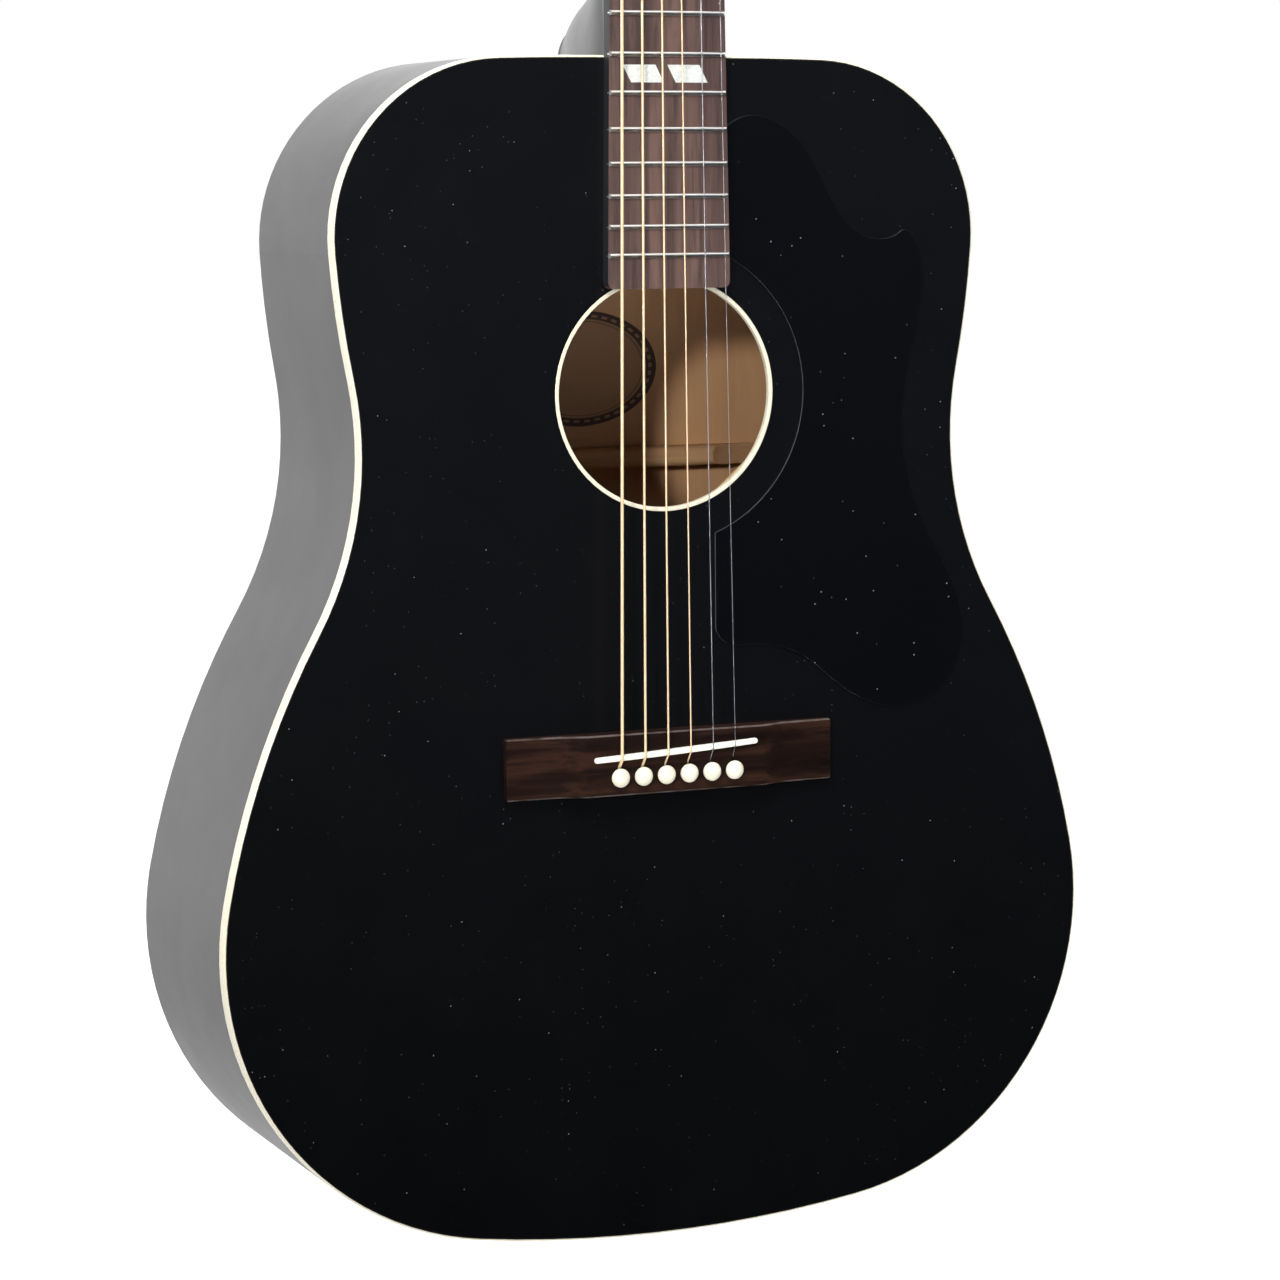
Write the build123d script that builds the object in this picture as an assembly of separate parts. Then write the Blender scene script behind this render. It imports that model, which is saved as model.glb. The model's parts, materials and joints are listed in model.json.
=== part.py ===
from build123d import *
import os
from math import asin, atan2, cos, degrees, hypot, pi, radians, sin, sqrt, tan

# Acoustic guitar, 14 frets to the body, standing upright. All sizes are in millimetres.
# +Z runs up the neck, the soundboard faces -Y, and +X is the treble side.
# The model is drawn with y = 0 in the soundboard's face and z = 0 at the tail, and is then
# moved so that its origin is at the seat of the strap pin, on the tail end.

# ---------------------------------------------------------------- driving dimensions
# Body outline from the tail to the shoulder: radius, turn in degrees (minus is the waist).
OUTLINE_ARCS = ((597, 8.56), (130, 92.2), (360, 18.8), (151, -40.9), (428, 7.0), (75.6, 92.77), (1500, 1.57))
DEPTH_AT_TAIL = 125
DEPTH_AT_NECK = 95
BACK_DOME_RADIUS = 6000
TOP_THICKNESS = 2.8
BACK_THICKNESS = 2.8
SIDE_THICKNESS = 2.3
BINDING_THICKNESS = 1.5
BINDING_HEIGHT = 6.3
LINING_STEPS = ((6, 3), (3.96, 7.8), (2.16, 13))    # width and height, from the plate inward
PICKGUARD_THICKNESS = 0.9
PICKGUARD_GAP = 14.1          # from the soundhole's edge
PICKGUARD_SIDE_X = 29.2       # along the fingerboard
PICKGUARD_LOW_X = 22.5        # its lower corner, beside the strings
# Curves of its edge: over the top to the horn, then down the outer side and round the lobe
PICKGUARD_UPPER = ((PICKGUARD_SIDE_X, 478), (42, 482.6), (60, 475), (78.4, 446.7), (90.3, 433), (101, 429.4),
                   (110.5, 431.7))
PICKGUARD_OUTER = ((110.5, 431.7), (114.6, 433.2), (117.5, 430.5), (122.3, 410), (116.2, 380), (112, 350),
                   (121.8, 306.6), (134, 284), (141.4, 258), (134.6, 236), (109, 224.8), (83, 234.6),
                   (62, 250.5), (39, 255.8), (28, 256.6), (PICKGUARD_LOW_X, 263))
BACK_BRACES = ((96, 12, 150), (200, 12, 140), (331, 9, 98), (418, 9, 105))    # place, width, half span
BACK_BRACE_HEIGHT = 13
BACK_BRACE_ROUNDING = 3.5
BRACE_SCOOP = (35, 10)        # length and depth of the hollow that thins each end of a back brace
CENTRE_STRIP = (18, 22, 444, 2)      # width, low end, high end, thickness
BLOCK_HALF_WIDTH = 38
NECK_BLOCK_LOW = 445
TAIL_BLOCK_HIGH = 21
BRIDGE_PLATE_THICKNESS = 2.5
BRIDGE_PLATE_CORNERS = ((-72, 186), (72, 186), (56, 230), (-56, 230))
BRACE_END_HEIGHT = 3
BRACE_TAPER = 45
CROSS_BRACE = (290, 230, 49, 0.62)   # crossing's height, leg, lean in degrees, share above the crossing
CROSS_BRACE_SECTION = (8, 14)
# Soundboard bars: start, end, width, height
SINGLE_BARS = (((-45, 178), (132, 92), 7, 11), ((-60, 136), (75, 48), 7, 10), ((-140, 430), (140, 430), 12, 13))
MIRRORED_BARS = (((76, 240), (165, 268), 6, 8), ((104, 214), (185, 226), 6, 8), ((55, 354), (55, 422), 5, 5))
END_PIN_Y = 62
END_PIN_RADIUS = 3.5

# Scale and strings
SCALE_LENGTH = 645.16
SCALE_START_Z = 220.5
FRET_COUNT = 20
BODY_FRET = 14
MARKER_FRETS = (3, 5, 7, 9, 12, 15)
MARKER_X = (-11.3, 8.9)       # of each pair's two parallelograms
MARKER_WIDTH = 14.8
MARKER_HEIGHT = 7.4
MARKER_LEAN = 3.8
MARKER_DEPTH = 2
STRINGS = ("low_e", "a", "d", "g", "b", "high_e")
STRING_DIAMETERS = (1.35, 1.07, 0.81, 0.61, 0.43, 0.33)
STRING_OFFSET = 1.75          # of a string from its pin's axis
BALL_END = (1.9, 3.6)         # radius and length
NUT_SPACING = 7.3
SADDLE_SPACING = 10.56
PIN_SPACING = 10.6

# Soundhole and label
HOLE_Z = 365.2
HOLE_RADIUS = 50.4
RING_WIDTH = 1.9
RING_DEPTH = 2.8
LABEL_SIZE = (74, 52)
LABEL_THICKNESS = 0.4
LABEL_CENTRE = (3, 371.5)

# Fingerboard and neck
BOARD_RADIUS = 406.4
BOARD_THICKNESS = 6.6
BOARD_END_Z = 409.8
BOARD_WIDTH_NUT = 42.9
BOARD_WIDTH_BODY = 53.3
NUT_THICKNESS = 6
NUT_STRING_HEIGHT = BOARD_THICKNESS + 1.35
FRET_SIZE = (1.1, 1.05, 0.3, 1.7)    # half width, crown, half foot, foot depth
FRET_BEVEL = 35               # degrees that a fret's end leans inward
FRET_BEVEL_LAND = 0.1
NECK_DEPTH_NUT = 15
NECK_DEPTH_BODY = 18.5
HEEL_SECTIONS = ((0, 53, 108), (10, 52.6, 98), (18, 51, 76), (28, 48, 55), (42, 43, 40), (62, 35, 30),
                 (80, 26, 24), (93, 20, 15))    # depth, width, reach up the neck
HEEL_CAP_THICKNESS = 2
TENON_DEPTH = 22
TENON_HALF_WIDTHS = (12, 17)
TENON_REACH = 82
BAR_SIZE = (9.5, 9.5)
BAR_TOP_Y = 0.5
BAR_WALL = 1.6

# Headstock
HEAD_TILT = 14
HEAD_LENGTH = 165
HEAD_THICKNESS = 15
VENEER_THICKNESS = 1.5
HEAD_HALF_WIDTHS = (21.7, 34, 36.5)
HEAD_SHOULDER = 24
HEAD_CORNER = 6

# Bridge
BRIDGE_LENGTH = 151
BRIDGE_LOW_Z = 195
BRIDGE_HIGH_Z = 221.6
BRIDGE_HEIGHT = 9
BRIDGE_WING_HEIGHT = 4.6
BRIDGE_CENTRE_HALF = 41
BRIDGE_RAMP = 11
BRIDGE_END_DROP = 1.2
BRIDGE_ROUNDING = 1.2
SADDLE_LENGTH = 76
SADDLE_THICKNESS = 2.5
SADDLE_Z = 212.9
SADDLE_SLANT = 3.1
SADDLE_BOTTOM = 4.2
SADDLE_CROWN = 12.0
PIN_Z = 203.1
PIN_SEAT = -10.2              # underside of a pin's head, 1.2 above the bridge
PIN_SHANK = 23
PIN_RADII = (2.6, 2.35)       # under the head and at the tip
PIN_HEAD = (4.0, 0.9, 3.6)    # radius, straight rim and whole height

# Tuners, in the headstock's own frame: u outward, v up the head, w forward
POST_U = 23
POST_V = (38, 81, 124)
POST_RADIUS = 3
POST_TOP_W = 13
GEAR_TEETH = 14
GEAR_MODULE = 0.8
GEAR_WIDTH = 4
WORM_PITCH_RADIUS = 2.8
WORM_LENGTH = 10.4
PLATE_THICKNESS = 1.2
BUTTON_LENGTH = 19
BUTTON_WIDTH = 17
BUTTON_THICKNESS = 7.5
BUTTON_START = 19
POST_STRING_W = 5.5
FERRULE_SLEEVE = 4.2
FERRULE_LENGTH = 9
FERRULE_FLANGE = 5.2
EAR_INNER = 7
EAR_THICKNESS = 1.6
SHAFT_RADIUS = 1.5
SCREW_V = (-11, 14.2)
WORM_PHASE = 70               # degrees that put the thread between two gear teeth
TOOTH_OUT = 0.62              # of gear teeth and thread, beyond the pitch circle
TOOTH_IN = 0.85
TOOTH_BACKLASH = 0.12
THREAD_ANGLES = (58, 76)      # turn taken by the crest, and by both flanks together
COLLAR_RADIUS = 2.5
PEENED_RADIUS = 2.1
SHAFT_IN_BUTTON = 5
BUTTON_ROUNDING = 2.6
BUTTON_FLAT = 1.2             # cut from the button's inner end
HUB_RADIUS = 2.9
BOSS_RADIUS = 4.1
GEAR_SCREW = (2.7, 1.2)       # radius and height of the head
GEAR_TO_PLATE = 5.9
POST_WAIST = (3.6, 7.6, 0.2)  # start, end and depth
POST_HOLE_W = 9.4
POST_HOLE_RADIUS = 1
PLATE_SCREW = (1.1, 8, 2.3)   # shank radius, length in the wood, head radius
PLATE_SIZE = (17.2, 31, 3)    # width, length, corner
PLATE_SHIFT = 1.6
EAR_RADIUS = 3.1
CLEARANCE = 0.05

# Strap pin: radius and depth along its axis, from the point in the block to the rim
END_PIN_SIDE = ((0, 14), (3.3, 14), (END_PIN_RADIUS, 0), (4.6, 0), (3.4, -3.5), (3.4, -6.5), (6.4, -9.5),
                (6.4, -11))
END_PIN_CROWN = -13

# ---------------------------------------------------------------- derived places
nut_z = SCALE_START_Z + SCALE_LENGTH
head_z = nut_z + NUT_THICKNESS
head_frame = Plane(origin=(0, 0, head_z), x_dir=(1, 0, 0),
                   z_dir=(0, -cos(radians(HEAD_TILT)), sin(radians(HEAD_TILT))))
head_back = -HEAD_THICKNESS
plate_back = head_back - PLATE_THICKNESS
gear_radius = GEAR_MODULE * GEAR_TEETH / 2
gear_low = plate_back - GEAR_TO_PLATE
gear_mid = gear_low + GEAR_WIDTH / 2
worm_v = gear_radius + WORM_PITCH_RADIUS
thread_pitch = pi * GEAR_MODULE
lead_angle = thread_pitch / (2 * pi * WORM_PITCH_RADIUS)
parts = {}


def fret_z(number):
    """Height of a fret above the tail."""
    return SCALE_START_Z + SCALE_LENGTH * 2 ** (-number / 12)


def string_x(index, spacing):
    """Sideways place of a string whose neighbours are `spacing` away."""
    return (index - 2.5) * spacing


# ---------------------------------------------------------------- shared shapes
def closed(*curves):
    """Face inside a closed run of lines and curves."""
    return make_face(Wire([edge for curve in curves for edge in curve.edges()]))


def outline(inset=0.0):
    """Closed body outline, moved inward by `inset`, drawn with X across and Z as Y."""
    point, heading, edges = Vector(0, inset), 0.0, []
    for radius, turn in OUTLINE_ARCS:
        size = radius - inset if turn > 0 else radius + inset
        arc = JernArc(point, (cos(radians(heading)), sin(radians(heading))), size, turn)
        edges.append(arc)
        point, heading = arc @ 1, heading + turn
    edges.append(Line(point, (0, point.Y)))
    half = closed(*edges, Line((0, point.Y), (0, inset)))
    return half + mirror(half, about=Plane.YZ)


def plate(face, front, back):
    """Solid from a face drawn in X and Z, between two depths."""
    return extrude(Plane.XZ.offset(-back) * face, amount=back - front)


def block(x0, x1, y0, y1, z0, z1):
    """Box between two corners."""
    middle = Pos((x0 + x1) / 2, (y0 + y1) / 2, (z0 + z1) / 2)
    return middle * Box(x1 - x0, y1 - y0, z1 - z0)


def rectangle(x0, x1, z0, z1):
    """Rectangle between two corners, drawn in X and Z."""
    return Pos((x0 + x1) / 2, (z0 + z1) / 2) * Rectangle(x1 - x0, z1 - z0)


def hole_disc(radius):
    """Circle round the soundhole's centre, drawn in X and Z."""
    return Pos(0, HOLE_Z) * Circle(radius)


def polygon(*points):
    """Straight-sided face."""
    return make_face(Polyline(*points, close=True))


def ring(outer_inset, inner_inset, front, back):
    """Band that follows the body outline."""
    return plate(outline(outer_inset), front, back) - plate(outline(inner_inset), front - 1, back + 1)


body_length = outline().bounding_box().max.Y
back_slope = atan2(DEPTH_AT_TAIL - DEPTH_AT_NECK, body_length)
chord = hypot(body_length, DEPTH_AT_TAIL - DEPTH_AT_NECK)
dome_drop = sqrt(BACK_DOME_RADIUS ** 2 - (chord / 2) ** 2)
dome_centre = Vector(0, (DEPTH_AT_TAIL + DEPTH_AT_NECK) / 2 - dome_drop * cos(back_slope),
                     body_length / 2 - dome_drop * sin(back_slope))


def dome(inward, shift=0.0):
    """Ball whose surface is the back, `inward` of its outer face and moved forward by `shift`."""
    return Pos(dome_centre.X, dome_centre.Y - shift, dome_centre.Z) * Sphere(BACK_DOME_RADIUS - inward)


inside_back = dome(BACK_THICKNESS)
inside = outline(SIDE_THICKNESS)
inside_linings = outline(SIDE_THICKNESS + LINING_STEPS[0][0] + 2 * CLEARANCE)


def under_back(face, height):
    """Piece of constant height glued to the inside of the back."""
    return (plate(face, 40, 140) & inside_back) - dome(BACK_THICKNESS, height)


def half_ellipse(width, length):
    """Flat-based half ellipse, its flat side along X, bulging toward -Y."""
    curve = EllipticalCenterArc((0, 0), width / 2, length, start_angle=180, arc_size=180)
    return closed(curve, Line(curve @ 1, curve @ 0))


def cylinder(start, end, radius):
    """Round bar between two points."""
    start, end = Vector(*start), Vector(*end)
    return extrude(Plane(origin=start, z_dir=end - start) * Circle(radius), amount=(end - start).length)


def cap_arc(radius, base, tip):
    """Arc from a rim at (radius, base) to the axis at (0, tip), centred on the axis."""
    height = abs(tip - base)
    ball = (radius ** 2 + height ** 2) / (2 * height)
    half = asin(radius / ball) / 2
    rise = ball * (1 - cos(half)) * (1 if base > tip else -1)
    return ThreePointArc((radius, base), (ball * sin(half), tip + rise), (0, tip))


# ---------------------------------------------------------------- body shell
def tenon():
    """Dovetail that joins the neck to its block."""
    near, far = TENON_HALF_WIDTHS
    low, high = body_length - TENON_DEPTH, body_length
    face = polygon((-near, high + 1), (-near, high), (-far, low), (far, low), (near, high), (near, high + 1))
    return plate(face, TOP_THICKNESS, TENON_REACH)


def pin_hole(index):
    """Tapered hole for a bridge pin."""
    x = string_x(index, PIN_SPACING)
    return Pos(x, 0, PIN_Z) * Rot(-90, 0, 0) * Pos(0, 0, PIN_SEAT) * pin_cone(CLEARANCE)


def pin_cone(extra=0.0):
    """Tapered pin shank along +Z from the underside of its head."""
    top, tip = PIN_RADII
    return Pos(0, 0, PIN_SHANK / 2) * Cone(top + extra, tip + extra, PIN_SHANK)


def make_soundboard():
    board = plate(outline(BINDING_THICKNESS), 0, TOP_THICKNESS)
    board -= plate(hole_disc(HOLE_RADIUS), -1, TOP_THICKNESS + 1)
    for index in range(6):
        board -= pin_hole(index)
    return board


def make_back():
    return (plate(outline(), 60, 140) & dome(0)) - inside_back


def make_sides():
    ribs = ring(0, SIDE_THICKNESS, TOP_THICKNESS, 140) & inside_back
    ribs -= ring(-1, BINDING_THICKNESS, TOP_THICKNESS - 1, BINDING_HEIGHT)
    ribs -= tenon()
    return ribs - cylinder((0, END_PIN_Y, -5), (0, END_PIN_Y, 20), END_PIN_RADIUS)


def make_linings():
    """Glue strips along the top and the back, wider where they meet the plates."""
    front = rear = None
    for width, height in LINING_STEPS:
        inner = SIDE_THICKNESS + width
        step = ring(SIDE_THICKNESS, inner, TOP_THICKNESS, TOP_THICKNESS + height)
        front = step if front is None else front + step
        step = (ring(SIDE_THICKNESS, inner, 40, 140) & inside_back) - dome(BACK_THICKNESS, height)
        rear = step if rear is None else rear + step
    for gap in (neck_block_shape(), tail_block_shape(), tenon()):
        front, rear = front - gap, rear - gap
    return Compound(children=[*front.solids(), *rear.solids()])


def neck_block_shape():
    face = rectangle(-BLOCK_HALF_WIDTH, BLOCK_HALF_WIDTH, NECK_BLOCK_LOW, body_length + 10) & inside
    return (plate(face, TOP_THICKNESS, 140) & inside_back) - tenon()


def tail_block_shape():
    face = rectangle(-BLOCK_HALF_WIDTH, BLOCK_HALF_WIDTH, 0, TAIL_BLOCK_HIGH) & inside
    solid = plate(face, TOP_THICKNESS, 140) & inside_back
    return solid - cylinder((0, END_PIN_Y, -5), (0, END_PIN_Y, 30), END_PIN_RADIUS)


def make_soundhole_ring():
    return plate(hole_disc(HOLE_RADIUS) - hole_disc(HOLE_RADIUS - RING_WIDTH), 0, RING_DEPTH)


def make_pickguard():
    """Thin plate beside the soundhole, with a horn at the top and a lobe at the bottom."""
    gap = HOLE_RADIUS + PICKGUARD_GAP
    top = (PICKGUARD_SIDE_X, HOLE_Z + sqrt(gap ** 2 - PICKGUARD_SIDE_X ** 2))
    low = (PICKGUARD_LOW_X, HOLE_Z - sqrt(gap ** 2 - PICKGUARD_LOW_X ** 2))
    edges = [
        Line(top, PICKGUARD_UPPER[0]),
        Spline(*PICKGUARD_UPPER),
        Spline(*PICKGUARD_OUTER),
        Line(PICKGUARD_OUTER[-1], low),
        ThreePointArc(low, (gap, HOLE_Z), top),
    ]
    return plate(closed(*edges), -PICKGUARD_THICKNESS, 0)


# ---------------------------------------------------------------- bracing inside the body
def brace(start, end, width, height):
    """Bar glued under the soundboard between two points given in X and Z, low at its ends."""
    length = hypot(end[0] - start[0], end[1] - start[1])
    taper = min(BRACE_TAPER, length * 0.4)
    base = TOP_THICKNESS
    side = polygon((0, base), (length, base), (length, base + BRACE_END_HEIGHT),
                   (length - taper, base + height), (taper, base + height), (0, base + BRACE_END_HEIGHT))
    along = Vector(end[0] - start[0], 0, end[1] - start[1])
    across = Vector(0, 1, 0).cross(along).normalized()
    frame = Plane(origin=(start[0], 0, start[1]), x_dir=along, z_dir=across * -1)
    if frame.y_dir.Y < 0:
        frame = Plane(origin=frame.origin, x_dir=along, z_dir=across)
    return extrude(frame * side, amount=width / 2, both=True)


def make_top_braces():
    room = plate(inside_linings, TOP_THICKNESS, 60)
    crossing, reach, lean, above = CROSS_BRACE
    step = Vector(sin(radians(lean)), cos(radians(lean))) * reach
    legs = [brace((-side * step.X, crossing - step.Y), (side * step.X * above, crossing + step.Y * above),
                  *CROSS_BRACE_SECTION) for side in (1, -1)]
    bars = [brace(*bar) for bar in SINGLE_BARS]
    for (start_x, start_z), (end_x, end_z), width, height in MIRRORED_BARS:
        bars += [brace((side * start_x, start_z), (side * end_x, end_z), width, height) for side in (1, -1)]
    solids = []
    for bar in (legs[0], legs[1] - legs[0], *bars):
        solids += ((bar & room) - neck_block_shape()).solids()
    return Compound(children=solids)


def make_bridge_plate():
    solid = plate(polygon(*BRIDGE_PLATE_CORNERS), TOP_THICKNESS, TOP_THICKNESS + BRIDGE_PLATE_THICKNESS)
    for index, diameter in enumerate(STRING_DIAMETERS):
        x = string_x(index, PIN_SPACING)
        solid -= pin_hole(index)
        solid -= block(x - diameter / 2 - 0.1, x + diameter / 2 + 0.1, 2, 6, PIN_Z, PIN_Z + 4.2)
    return solid


def back_brace_shapes():
    """Rounded bars across the back, thinned toward the linings by a hollow at each end."""
    reach, deep = BRACE_SCOOP
    scoop_radius = (reach ** 2 + deep ** 2) / (2 * deep)
    bars = []
    for z, width, half_span in BACK_BRACES:
        face = rectangle(-220, 220, z - width / 2, z + width / 2) & inside_linings
        bar = under_back(face, BACK_BRACE_HEIGHT)
        edges = [edge for edge in bar.edges() if edge.length > 200]
        front = sorted(edges, key=lambda edge: edge.center().Y)[:2]
        bar = fillet(front, BACK_BRACE_ROUNDING)
        front_y = back_front_y(half_span, z)
        for side in (1, -1):
            bar -= Pos(side * half_span, front_y + deep - scoop_radius, z) * Cylinder(scoop_radius, 2 * width)
            outside = sorted((side * half_span, side * 220))
            bar -= block(*outside, front_y - 10, front_y + deep, z - width, z + width)
        bars.append(bar)
    return bars


def back_front_y(x, z):
    """Depth of the back braces' front face."""
    inner = BACK_DOME_RADIUS - BACK_THICKNESS
    return dome_centre.Y + sqrt(inner ** 2 - x ** 2 - (z - dome_centre.Z) ** 2) - BACK_BRACE_HEIGHT


def make_back_centre_strip():
    width, low, high, thickness = CENTRE_STRIP
    strip = under_back(rectangle(-width / 2, width / 2, low, high), thickness)
    for bar in back_brace_shapes():
        strip -= bar
    return strip - plate(label_face(0.2), 40, 140)


def label_face(gap=0.0):
    """Oval of the label, with room round it."""
    return Pos(*LABEL_CENTRE) * Ellipse(LABEL_SIZE[0] / 2 + gap, LABEL_SIZE[1] / 2 + gap)


def make_label():
    return under_back(label_face(), LABEL_THICKNESS)


# ---------------------------------------------------------------- bridge, saddle, pins
def crown_drop(x):
    """Fall of the fingerboard's curve away from the centreline."""
    return BOARD_RADIUS - sqrt(BOARD_RADIUS ** 2 - x ** 2)


def saddle_plan():
    """Slanted bar with rounded ends, drawn in X and Z."""
    return Pos(0, SADDLE_Z) * Rot(0, 0, SADDLE_SLANT) * SlotOverall(SADDLE_LENGTH, SADDLE_THICKNESS)


def make_saddle():
    bar = plate(saddle_plan(), -SADDLE_CROWN, -SADDLE_BOTTOM)
    bar &= Pos(0, BOARD_RADIUS - SADDLE_CROWN, SADDLE_Z) * Cylinder(BOARD_RADIUS, 60)
    crown_edges = [edge for edge in bar.edges() if edge.center().Y < -SADDLE_CROWN + 2.5 and edge.length > 20]
    return fillet(crown_edges, SADDLE_THICKNESS / 2 - 0.15)


def make_bridge():
    half, centre = BRIDGE_LENGTH / 2, BRIDGE_CENTRE_HALF
    end_height = BRIDGE_WING_HEIGHT - BRIDGE_END_DROP
    side = polygon((-half, 0), (half, 0), (half, end_height),
                   (centre + BRIDGE_RAMP, BRIDGE_WING_HEIGHT), (centre, BRIDGE_HEIGHT), (-centre, BRIDGE_HEIGHT),
                   (-centre - BRIDGE_RAMP, BRIDGE_WING_HEIGHT), (-half, end_height))
    frame = Plane(origin=(0, 0, BRIDGE_LOW_Z), x_dir=(1, 0, 0), z_dir=(0, 0, -1))
    solid = extrude(frame * side, amount=-(BRIDGE_HIGH_Z - BRIDGE_LOW_Z))
    rims = [edge for edge in solid.edges() if edge.center().Y < -1.5 and edge.length > 3
            and abs(edge.center().Z - (BRIDGE_LOW_Z + BRIDGE_HIGH_Z) / 2) > 5]
    solid = fillet(rims, BRIDGE_ROUNDING)
    solid -= plate(saddle_plan(), -30, -SADDLE_BOTTOM)
    for index, diameter in enumerate(STRING_DIAMETERS):
        solid -= pin_hole(index)
        points = string_points(index)
        solid -= string_channel(points[2], points[3], diameter / 2 + 0.1, 14)
    return solid


def string_channel(start, end, half, length):
    """Open channel that a string lies in, its floor `half` below the string's axis."""
    along = (end - start).normalized()
    across = Vector(1, 0, 0)
    upward = along.cross(across).normalized()
    if upward.Y > 0:
        upward = upward * -1
    frame = Plane(origin=start, x_dir=along, z_dir=upward)
    return frame * Pos(length / 2 - 0.6, 0, 5 - half) * Box(length, 2 * half, 10)


def make_pin(index):
    """Bridge pin: domed head, tapered shank and a groove for its string."""
    radius, rim, dome_height = PIN_HEAD
    top, tip = PIN_RADII
    section = closed(
        Line((0, -dome_height), (0, PIN_SHANK + tip)),
        ThreePointArc((0, PIN_SHANK + tip), (tip * 0.7071, PIN_SHANK + tip * 0.7071), (tip, PIN_SHANK)),
        Polyline((tip, PIN_SHANK), (top, 0), (radius, 0), (radius, -rim)),
        cap_arc(radius, -rim, -dome_height),
    )
    solid = revolve(Plane.XZ * section, Axis.Z)
    groove_half = STRING_DIAMETERS[index] / 2 + 0.12
    solid -= block(-groove_half, groove_half, -6, groove_half - STRING_OFFSET, 0, PIN_SHANK + 6)
    return Pos(string_x(index, PIN_SPACING), PIN_SEAT, PIN_Z) * Rot(-90, 0, 0) * solid


# ---------------------------------------------------------------- strings
def post_place(index):
    """Side and height along the head of the post that holds a string."""
    side = -1 if index < 3 else 1
    return side, POST_V[index if index < 3 else 5 - index]


def string_points(index):
    """Route of a string: ball end, pin hole, saddle, nut and tuner post."""
    radius = STRING_DIAMETERS[index] / 2
    pin_x = string_x(index, PIN_SPACING)
    saddle_x = string_x(index, SADDLE_SPACING)
    nut_x = string_x(index, NUT_SPACING)
    crown = SADDLE_CROWN - crown_drop(saddle_x)
    saddle_z = SADDLE_Z + saddle_x * tan(radians(SADDLE_SLANT))
    nut_y = -(NUT_STRING_HEIGHT - crown_drop(nut_x) + radius)
    side, post_v = post_place(index)
    post_u = side * (POST_U - POST_RADIUS - radius - CLEARANCE)
    hole_exit = Vector(pin_x, -6.6, PIN_Z + STRING_OFFSET)
    nut = Vector(nut_x, nut_y, nut_z - 0.2)
    saddle_core = Vector(saddle_x, SADDLE_THICKNESS / 2 - crown, saddle_z)
    return [
        Vector(pin_x, 7.4, PIN_Z + 4.4),
        Vector(pin_x, 3.4, PIN_Z + STRING_OFFSET),
        hole_exit,
        corner_over(saddle_core, hole_exit, nut, saddle_wrap(index)),
        nut,
        head_frame.from_local_coords(Vector(post_u, post_v, POST_STRING_W)),
    ]


def saddle_wrap(index):
    """Radius of a string's bend over the saddle's round crown."""
    return (SADDLE_THICKNESS + STRING_DIAMETERS[index]) / 2 + 5 * CLEARANCE


def corner_over(core, before, after, radius):
    """Corner of a route that wraps `core` at a radius."""
    arrive, leave = (core - before).normalized(), (after - core).normalized()
    outward = (arrive - leave).normalized()
    return core + outward * (radius / cos(radians(arrive.get_angle(leave) / 2)))


def make_string(index):
    """Round wire along its route, with the ball end that holds it under the bridge plate."""
    points = string_points(index)
    path = FilletPolyline(*points, radius=[2, 2, saddle_wrap(index), 3])
    section = Plane(origin=points[0], z_dir=points[1] - points[0]) * Circle(STRING_DIAMETERS[index] / 2)
    ball_y = TOP_THICKNESS + BRIDGE_PLATE_THICKNESS + BALL_END[0] + CLEARANCE
    ball = Pos(points[0].X, ball_y, points[0].Z + 0.2) * Rot(0, 90, 0) * Cylinder(*BALL_END)
    return sweep(section, path=path) + ball


# ---------------------------------------------------------------- fingerboard
def board_half_width(z):
    taper = (BOARD_WIDTH_BODY - BOARD_WIDTH_NUT) / (nut_z - fret_z(BODY_FRET))
    return (BOARD_WIDTH_NUT + taper * (nut_z - z)) / 2


def board_prism(low, high, front, back):
    """Tapered block that follows the fingerboard's plan."""
    a, b = board_half_width(low), board_half_width(high)
    return plate(polygon((-a, low), (a, low), (b, high), (-b, high)), front, back)


def board_axis_tube(radius, low, high):
    """Cylinder about the axis of the fingerboard's curve."""
    return Pos(0, BOARD_RADIUS - BOARD_THICKNESS, (low + high) / 2) * Cylinder(radius, high - low)


def square_ended_fret(number):
    """Fret wire bent to the fingerboard's curve: a half-round crown over a foot, flush with the board's sides."""
    z = fret_z(number)
    half, rise, foot_half, foot = FRET_SIZE
    crown = ThreePointArc((BOARD_RADIUS, -half), (BOARD_RADIUS + rise, 0), (BOARD_RADIUS, half))
    foot_line = Polyline((BOARD_RADIUS, half), (BOARD_RADIUS, foot_half), (BOARD_RADIUS - foot, foot_half),
                         (BOARD_RADIUS - foot, -foot_half), (BOARD_RADIUS, -foot_half), (BOARD_RADIUS, -half))
    profile = closed(crown, foot_line)
    band = Plane(origin=(0, 0, 0), x_dir=(0, -1, 0), z_dir=(1, 0, 0)) * profile
    swept = revolve(Rot(0, 0, -6) * band, Axis.Z, 12)
    swept = Pos(0, BOARD_RADIUS - BOARD_THICKNESS, z) * swept
    return swept & board_prism(z - 3, z + 3, -30, 5)


def fret_solid(number):
    """A fret with both ends filed to a slope."""
    z = fret_z(number)
    wire = square_ended_fret(number)
    edge_x = board_half_width(z) - FRET_BEVEL_LAND
    edge_y = crown_drop(edge_x) - BOARD_THICKNESS
    for side in (1, -1):
        bevel = Pos(side * edge_x, edge_y, z) * Rot(0, 0, -side * FRET_BEVEL) * Pos(side * 5, -2, 0)
        wire -= bevel * Box(10, 8, 8)
    return wire


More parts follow.
